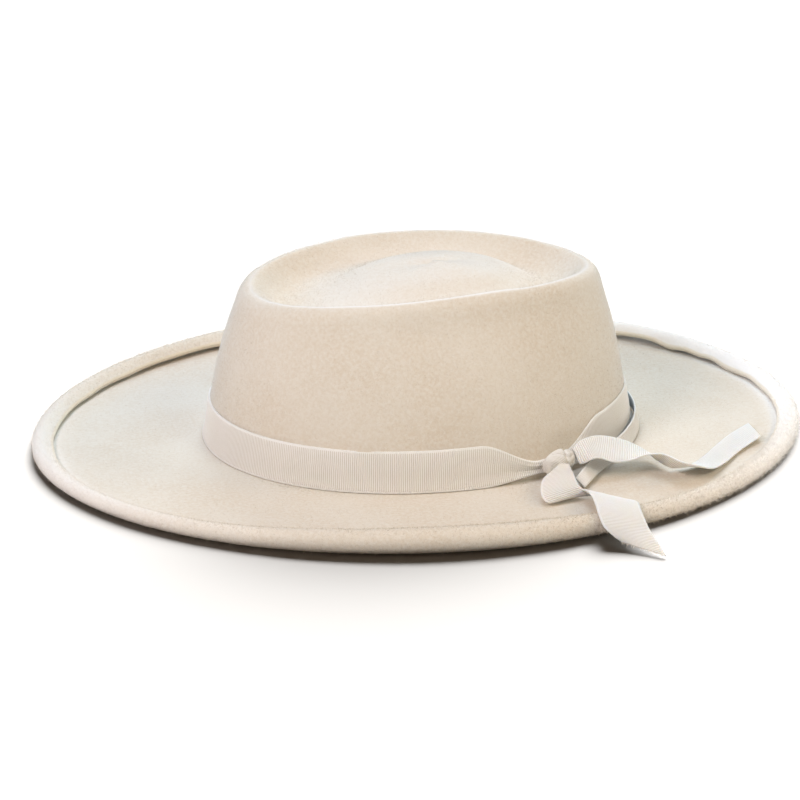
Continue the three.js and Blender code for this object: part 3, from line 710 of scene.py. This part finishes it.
def frayed_end(name, ribbon, spacing, longest, seed):
    """Loose threads along a ribbon's cut end."""
    source = np.random.default_rng(seed)
    middle, reach, along, face = cut_ends[ribbon]
    count = int(2 * np.linalg.norm(reach) / spacing)
    u = np.linspace(-0.98, 0.98, count)[:, None] + source.normal(size=(count, 1)) * 0.01
    start = middle + reach * u - along * FRAY_ROOT + face * source.normal(size=(count, 1)) * 0.12
    length = FRAY_ROOT + FRAY_LEAST + (longest - FRAY_LEAST) * source.random((count, 1)) ** 2
    lean = along + source.normal(size=(count, 3)) * 0.16
    end = start + lean * length
    end[:, 2] = np.maximum(end[:, 2], 0.3)
    return threads(name, start, end, FRAY_THICK, seed + 1)


fray_right = frayed_end("fray_right", "ribbon_end_right", 0.42, 0.8, 41)
fray_front = frayed_end("fray_front", "ribbon_end_front", 0.5, 1.3, 43)


def band_stitches():
    """Loose basting stitches that show under the band's lower edge, left of the front."""
    angle = np.array([213.2, 216.1, 218.8, 221.9, 224.6, 227.7, 230.4])
    reach = np.array([0.55, 0.75, 0.6, 0.8, 0.7, 0.9, 0.6])
    ends = []
    for side in (-1, 1):
        wall, out = crown_wall(angle + side * reach, np.full(len(angle), BAND_FOOT - 0.1))
        ends.append(wall + out * (4.0 + 0.3 * side * np.cos(angle))[:, None])
        ends[-1][:, 2] = BRIM_TOP + 0.32 + 0.1 * np.sin(3 * angle)
    return threads("band_stitches", ends[0], ends[1], 0.42, 47)


stitches = band_stitches()


# Fibres of the felt: shortest, how much longer at most, how bent, how far sunk in
FIBRE_LEAST, FIBRE_MORE, FIBRE_BEND, FIBRE_SUNK = 0.5, 1.3, 0.18, 0.05
FIBRE_FACES = [0, 1, 3], [1, 2, 3], [2, 0, 3], [0, 2, 1]
# Where the rim begins, as a share of the brim's full size
RIM_FROM = 0.47


def outline_share(points):
    """How far out points lie by the brim's full size: 0.5 at its outline."""
    return np.hypot(points[..., 0] / BRIM_LENGTH, points[..., 1] / BRIM_WIDTH)


def nap_piece(name, count, weight_of, seed, longer=0.0, half_wide=0.05, face=1):
    """Three-sided fibres on the felt's upper face, or on its under face with -1."""
    source = np.random.default_rng(seed)
    upper = felt_middle + face * felt_normal * HALF
    a, b = upper[:-1], np.roll(upper, -1, axis=1)[:-1]
    d = upper[1:]
    area = np.linalg.norm(np.cross(b - a, d - a), axis=-1)
    chance = (area * weight_of(a)).ravel()
    chance = chance / chance.sum()
    pick = source.choice(len(chance), count, p=chance)
    row, column = np.unravel_index(pick, area.shape)
    s, t = source.random((2, count, 1))
    root = a[row, column] + (b - a)[row, column] * s + (d - a)[row, column] * t
    normal = face * felt_normal[row, column]
    lean = source.normal(size=(count, 3))
    lean = unit(lean - normal * np.sum(lean * normal, axis=1, keepdims=True))
    rise = source.random((count, 1)) ** 1.6
    heading = unit(lean * (1.05 - rise) + normal * (0.12 + 0.75 * rise))
    length = FIBRE_LEAST + FIBRE_MORE * source.random((count, 1)) ** 2
    turn = np.arctan2(root[:, 1], root[:, 0])
    rim_side = smoothstep((outline_share(root) - RIM_FROM) / 0.02)
    grown = 1 + longer * (near_angle(turn, 318, 60) * rim_side)[:, None]
    length *= grown
    side = unit(np.cross(heading, normal + 0.3 * lean)) * half_wide * np.sqrt(grown)
    across = np.cross(heading, side)
    bend = unit(across) * length * source.normal(size=(count, 1)) * FIBRE_BEND
    root = root - normal * FIBRE_SUNK
    tip = root + heading * length + bend
    foot = root - side * 0.5
    points = np.stack([root + side, foot + across * 0.87, foot - across * 0.87, tip], axis=1)
    first = np.arange(count)[:, None] * 4
    triangles = np.concatenate([first + corners for corners in FIBRE_FACES])
    points = points.reshape(-1, 3)
    points[:, 2] = np.maximum(points[:, 2], 0.02)
    # Painted highlight share for the rim's fibres, most at the right.
    painted_highlight = np.repeat(painted_highlight_side(turn), 4)
    return make_mesh(name, points, triangles, {"painted_highlight": painted_highlight}, smooth=False)


def crown_weight(points):
    return np.where(points[..., 2] > 14, 1.0, 0.25)


def edge_weight(points):
    return np.where((brim_share(points) > 0.93) & (points[..., 2] > 0.8), 1.0, 0.0)


def fuzz_weight(points):
    turn = np.arctan2(points[..., 1], points[..., 0])
    low = (points[..., 2] > 0.8) & (points[..., 2] < 13) & (outline_share(points) > RIM_FROM)
    return near_angle(turn, 316, 42) * low + 0.25 * near_angle(turn, 220, 30) * low


nap_crown = nap_piece("nap_crown", 49000, crown_weight, 11)
nap_fuzz = nap_piece("nap_fuzz", 9000, fuzz_weight, 13, longer=0.5, half_wide=0.115, face=-1)
nap_edge = nap_piece("nap_edge", 44000, edge_weight, 12, longer=1.3, half_wide=0.075, face=-1)
# The fibres cast no shadows; their darker tones paint that shade in.
for nap in (nap_crown, nap_edge, nap_fuzz):
    nap.visible_shadow = False


# Finishes
class Shade:
    """A socket of a material, with arithmetic that adds Math nodes."""

    def __init__(self, finish, socket):
        self.finish, self.socket = finish, socket

    def _math(self, operation, *values):
        return self.finish.node("ShaderNodeMath", {"operation": operation}, values)

    def __add__(self, other):
        return self._math("ADD", self, other)

    __radd__ = __add__

    def __sub__(self, other):
        return self._math("SUBTRACT", self, other)

    def __rsub__(self, other):
        return self._math("SUBTRACT", other, self)

    def __mul__(self, other):
        return self._math("MULTIPLY", self, other)

    def __truediv__(self, other):
        return self._math("DIVIDE", self, other)

    def __pow__(self, other):
        return self._math("POWER", self, other)

    def clamp(self):
        return self.finish.node("ShaderNodeClamp", {}, [self])

    def call(self, operation):
        return self._math(operation, self)


class Finish:
    """One procedural material."""

    def __init__(self, name):
        self.material = bpy.data.materials.new(name)
        self.material.use_nodes = True
        self.tree = self.material.node_tree
        self.tree.nodes.clear()
        self.output = self.tree.nodes.new("ShaderNodeOutputMaterial")

    def feed(self, socket, value):
        """Links a shade to a socket, or sets the socket to a plain value."""
        if isinstance(value, Shade):
            self.tree.links.new(value.socket, socket)
        elif socket.type == "RGBA" and len(value) == 3:
            socket.default_value = (*value, 1)
        else:
            socket.default_value = value

    def node(self, kind, settings=None, values=(), out=0):
        made = self.tree.nodes.new(kind)
        for key, value in (settings or {}).items():
            setattr(made, key, value)
        pairs = values.items() if isinstance(values, dict) else enumerate(values)
        for key, value in pairs:
            self.feed(made.inputs[key], value)
        return Shade(self, made.outputs[out])

    def mix(self, factor, a, b):
        return self.node("ShaderNodeMix", {"data_type": "RGBA"}, {0: factor, 6: a, 7: b}, out=2)

    def attribute(self, name):
        return self.node("ShaderNodeAttribute", {"attribute_name": name}, out=2)

    def noise(self, scale, detail=3.0, rough=0.55, stretch=None, distort=0.0):
        where = self.node("ShaderNodeTexCoord", out=3)
        if stretch:
            where = self.node("ShaderNodeMapping", {}, {"Vector": where, "Scale": stretch})
        return self.node("ShaderNodeTexNoise", {}, {
            "Vector": where, "Scale": scale, "Detail": detail, "Roughness": rough, "Distortion": distort})

    def bump(self, height, strength, distance):
        return self.node("ShaderNodeBump", {}, {
            "Strength": strength, "Distance": distance, "Height": height})

    def surface(self, **sockets):
        made = self.tree.nodes.new("ShaderNodeBsdfPrincipled")
        for key, value in sockets.items():
            self.feed(made.inputs[key.replace("_", " ")], value)
        self.tree.links.new(made.outputs[0], self.output.inputs[0])
        return self.material


def colour(r, g, b):
    """Linear colour from light values of 0 to 255, all above 10."""
    return tuple(((v / 255 + 0.055) / 1.055) ** 2.4 for v in (r, g, b))


FELT_TONE = {
    "warm": colour(225, 215, 200),
    "plain": colour(230, 223, 211),
    "pale": colour(237, 233, 225),
    "speck": colour(204, 191, 168),
    "cut": colour(228, 213, 182),
    # Near white of the painted highlight on the rim, dome and crest
    "painted_highlight": colour(254, 254, 255),
}
RIBBON_TONES = colour(251, 252, 250), colour(254, 254, 254)
# Painted shade in the grooves between the ribs
VALLEY_SHADE_TONE = colour(200, 191, 178)
# Blue-grey painted shade on the outer ply's back, in the gap against the crown
GAP_SHADE_TONES = colour(168, 177, 188), colour(206, 211, 217)
THREAD_TONES = colour(236, 229, 215), colour(249, 245, 236)


def spread(value, low, high):
    """0 to 1 from low to high, without overshoot."""
    return ((value - low) / (high - low)).clamp()


def felt_finish():
    f = Finish("cream_felt")
    cut = f.attribute("cut")
    cloudy = f.noise(22, 3, 0.5)
    mottle = f.noise(620, 3, 0.6)
    hairs = f.noise(1300, 2, 0.6, stretch=(1, 2.2, 1.4), distort=0.8)
    tone = f.mix(spread(cloudy, 0.38, 0.62), FELT_TONE["warm"], FELT_TONE["plain"])
    tone = f.mix(spread(mottle, 0.35, 0.68) * 0.75, tone, FELT_TONE["pale"])
    tone = f.mix(spread(hairs, 0.58, 0.76) * 0.5, tone, FELT_TONE["speck"])
    # Painted highlight: the felt mixed towards near white on the rim, dome and crest.
    painted_highlight = f.attribute("painted_highlight")
    tone = f.mix(painted_highlight * 0.95, tone, FELT_TONE["painted_highlight"])
    tone = f.mix(cut * 0.5, tone, FELT_TONE["cut"])
    bumped = f.bump(mottle * 0.6 + hairs * 0.4, 0.5, 0.0008)
    return f.surface(Base_Color=tone, Roughness=0.95, Normal=bumped, Specular_IOR_Level=0.1,
                     Sheen_Weight=0.85, Sheen_Roughness=0.25, Sheen_Tint=(1.0, 0.99, 0.97))


def nap_finish(name, dark, light, rim=False):
    f = Finish(name)
    tone = f.mix(spread(f.noise(700, 2), 0.35, 0.65), dark, light)
    # Painted highlight on the rim's fibres.
    if rim:
        tone = f.mix(f.attribute("painted_highlight") * 0.8, tone, FELT_TONE["painted_highlight"])
    return f.surface(Base_Color=tone, Roughness=1.0, Specular_IOR_Level=0.1,
                     Sheen_Weight=0.4, Sheen_Roughness=0.4)


def ribbon_finish(name, pitch, painted_back_shade=False, glow=0.0):
    f = Finish(name)
    run, across = f.attribute("run"), f.attribute("across")
    edge = spread(across.call("ABSOLUTE"), 0.9, 0.925)
    rib = (run * (2 * math.pi / pitch)).call("COSINE") * 0.5 + 0.5
    # Painted shade in the ribs' grooves, but not on the selvedges
    valley_shade = (1 - rib) ** 1.9 * (1 - edge)
    thread = f.noise(1500, 2, 0.6)
    tone = f.mix(spread(f.noise(60, 2), 0.35, 0.65), *RIBBON_TONES)
    tone = f.mix(valley_shade * (0.5 + thread * 0.3), tone, VALLEY_SHADE_TONE)
    # Painted shade: the back of the outer ply, turned blue-grey with stripes, as in the gap's shadow
    if painted_back_shade:
        stripes = (across * 17).call("SINE") * 0.5 + 0.5
        tone = f.mix(f.attribute("painted_back_shade"), tone, f.mix(stripes, *GAP_SHADE_TONES))
    bumped = f.bump(rib * 0.8 + thread * 0.3, 0.5, 0.0003)
    return f.surface(Base_Color=tone, Roughness=0.6, Normal=bumped, Specular_IOR_Level=0.3,
                     Sheen_Weight=0.25, Sheen_Roughness=0.4, Subsurface_Weight=glow,
                     Subsurface_Radius=(1.0, 0.8, 0.6), Subsurface_Scale=0.0018)


def thread_finish():
    f = Finish("cream_thread")
    tone = f.mix(spread(f.noise(900, 2), 0.35, 0.65), *THREAD_TONES)
    return f.surface(Base_Color=tone, Roughness=0.7, Specular_IOR_Level=0.3,
                     Sheen_Weight=0.3, Sheen_Roughness=0.4)


felt_look = felt_finish()
# Fibre tones darker than the felt's: painted shade standing in for the shadows that the fibres don't cast.
nap_look = nap_finish("crown_fibres", colour(178, 166, 149), colour(212, 201, 187))
edge_nap_look = nap_finish("edge_fibres", colour(190, 179, 162), colour(232, 224, 212), rim=True)
ribbon_look = ribbon_finish("cream_grosgrain", RIB_PITCH)
knot_look = ribbon_finish("cream_grosgrain_knot", 0.9)
# The outer ply, with painted shade on its back
shaded_back_look = ribbon_finish("cream_grosgrain_shaded_back", RIB_PITCH, painted_back_shade=True)
loose_look = ribbon_finish("cream_grosgrain_loose", RIB_PITCH, glow=0.7)
thread_look = thread_finish()

# Piece, the solid it replaces, its slot and its look
hat_pieces = []
for piece, node, slot, look in (
    (felt, "felt_body", "felt", felt_look),
    (band, "ribbon_band", "ribbon", ribbon_look),
    (knot, "ribbon_knot", "ribbon", knot_look),
    (outer_ply, "ribbon_outer_ply", "ribbon", shaded_back_look),
    (tail_upper, "ribbon_tail_upper", "ribbon", loose_look),
    (tail_lower, "ribbon_tail_lower", "ribbon", loose_look),
    (fray_right, None, "ribbon", thread_look),
    (fray_front, None, "ribbon", thread_look),
    (stitches, None, "ribbon", thread_look),
    (nap_crown, None, "felt", nap_look),
    (nap_edge, None, "felt", edge_nap_look),
    (nap_fuzz, None, "felt", edge_nap_look),
):
    hat_pieces.append(piece)
    piece.data.materials.append(look)
    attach(piece, "root")
    if node:
        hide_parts(node)

# Camera fitted to the photo's outlines: photo and focal length in pixels, sensor in millimetres, metres
# from the crown's middle, looking down and turned, and the pixel that shows that middle
PHOTO_SIZE, FOCUS_PX, SENSOR = 800, 3294.0, 36
EYE_DISTANCE = 1.6
EYE_DOWN, EYE_TURN = math.radians(21.17), math.radians(14.0)
TARGET_PX = (417.83, 431.2)
# Table, wall and lamps in metres
TABLE_REACH, WALL_RADIUS, WALL_HEIGHT, WALL_SIDES = 6.0, 5.9, 2.5, 96
LAMP_DISTANCE, LAMP_TARGET = 2.0, Vector((0, 0, 0.03))


def staged(name, points, faces, look):
    mesh = bpy.data.meshes.new(name)
    mesh.from_pydata(points, [], faces)
    piece = link_piece(name, mesh)
    piece.data.materials.append(look)
    return piece


def table_piece():
    corners = [(x * TABLE_REACH, y * TABLE_REACH, 0) for x, y in ((-1, -1), (1, -1), (1, 1), (-1, 1))]
    look = Finish("white_table").surface(
        Base_Color=(0.38, 0.38, 0.38), Roughness=0.9, Specular_IOR_Level=0.1)
    return staged("table", corners, [(0, 1, 2, 3)], look)


def backdrop_piece():
    """White wall round the table that only the camera sees."""
    turn = np.arange(WALL_SIDES) / WALL_SIDES * 2 * np.pi
    ring = np.stack([WALL_RADIUS * np.cos(turn), WALL_RADIUS * np.sin(turn), 0 * turn], axis=1)
    points = np.concatenate([ring - [0, 0, 0.01], ring + [0, 0, WALL_HEIGHT]])
    look = Finish("white_backdrop").surface(
        Base_Color=(0, 0, 0), Specular_IOR_Level=0.0, Emission_Color=(1, 1, 1), Emission_Strength=1.1)
    piece = staged("backdrop", points.tolist(), grid_faces(2, WALL_SIDES).tolist(), look)
    for unseen in ("visible_diffuse", "visible_glossy", "visible_transmission", "visible_shadow"):
        setattr(piece, unseen, False)


table = table_piece()
backdrop_piece()


def group(name, pieces):
    made = bpy.data.collections.new(name)
    for piece in pieces:
        made.objects.link(piece)
    return made


hat_only = group("lit_hat", hat_pieces)
table_only = group("lit_table", [table])


def hang(light, round_degrees, up_degrees, lit):
    """Places a light by degrees round from the camera's side to its right and degrees up."""
    turn, lift = math.radians(round_degrees), math.radians(up_degrees)
    aside, ahead = math.sin(turn), -math.cos(turn)
    place = Vector((
        math.cos(lift) * (aside * math.cos(EYE_TURN) + ahead * math.sin(EYE_TURN)),
        math.cos(lift) * (ahead * math.cos(EYE_TURN) - aside * math.sin(EYE_TURN)),
        math.sin(lift),
    )) * LAMP_DISTANCE
    holder = bpy.data.objects.new(light.name, light)
    holder.location = place
    holder.rotation_euler = (LAMP_TARGET - place).to_track_quat("-Z", "Y").to_euler()
    holder.light_linking.receiver_collection = lit
    bpy.context.scene.collection.objects.link(holder)


def softbox(name, round_degrees, up_degrees, power, size):
    """A lamp with its watts of red, green and blue."""
    light = bpy.data.lights.new(name, "AREA")
    light.shape = "RECTANGLE"
    light.size, light.size_y = size
    light.energy = max(power)
    light.color = [p / max(power) for p in power]
    hang(light, round_degrees, up_degrees, hat_only)


# Name, degrees round and up, watts of red, green and blue, metres wide and high
for lamp in (
    ("softbox_front_right", 45, 40, (7.0, 7.2, 6.1), (0.9, 0.5)),
    ("softbox_right", 90, 35, (7.6, 4.8, 2.6), (0.9, 0.5)),
    ("softbox_back_right", 135, 12, (4.2, 6.6, 8.1), (0.9, 0.5)),
    ("softbox_back", 180, 32, (13.4, 16.8, 19.1), (0.9, 0.5)),
    ("softbox_back_left", 225, 20, (0.6, 2.4, 4.5), (0.9, 0.5)),
    ("softbox_front_left", 315, 40, (20.0, 17.5, 16.6), (0.9, 0.5)),
    ("softbox_top", 180, 80, (12.6, 14.1, 15.9), (1.2, 1.2)),
):
    softbox(*lamp)
table_light = bpy.data.lights.new("table_light", "SUN")
table_light.energy, table_light.color, table_light.angle = 14.2, (1.0, 0.978, 0.957), math.radians(36)
hang(table_light, 171, 38, table_only)

world = bpy.data.worlds.new("studio")
world.use_nodes = True
world_inputs = world.node_tree.nodes["Background"].inputs
world_inputs[0].default_value = (1.0, 0.65, 0.34, 1)
world_inputs[1].default_value = 0.08
bpy.context.scene.world = world
bpy.context.scene.view_settings.view_transform = "Standard"


def set_camera():
    middle = Vector(CROWN_MIDDLE * MM)
    level = EYE_DISTANCE * math.cos(EYE_DOWN)
    rise = EYE_DISTANCE * math.sin(EYE_DOWN)
    away = Vector((-level * math.sin(EYE_TURN), -level * math.cos(EYE_TURN), rise))
    data = bpy.data.cameras.new("camera")
    data.sensor_width = SENSOR
    data.lens = FOCUS_PX * SENSOR / PHOTO_SIZE
    data.shift_x = -(TARGET_PX[0] - PHOTO_SIZE / 2) / PHOTO_SIZE
    data.shift_y = (TARGET_PX[1] - PHOTO_SIZE / 2) / PHOTO_SIZE
    camera = bpy.data.objects.new("camera", data)
    camera.location = middle + away
    camera.rotation_euler = (-away).to_track_quat("-Z", "Y").to_euler()
    bpy.context.scene.collection.objects.link(camera)
    bpy.context.scene.camera = camera


set_camera()
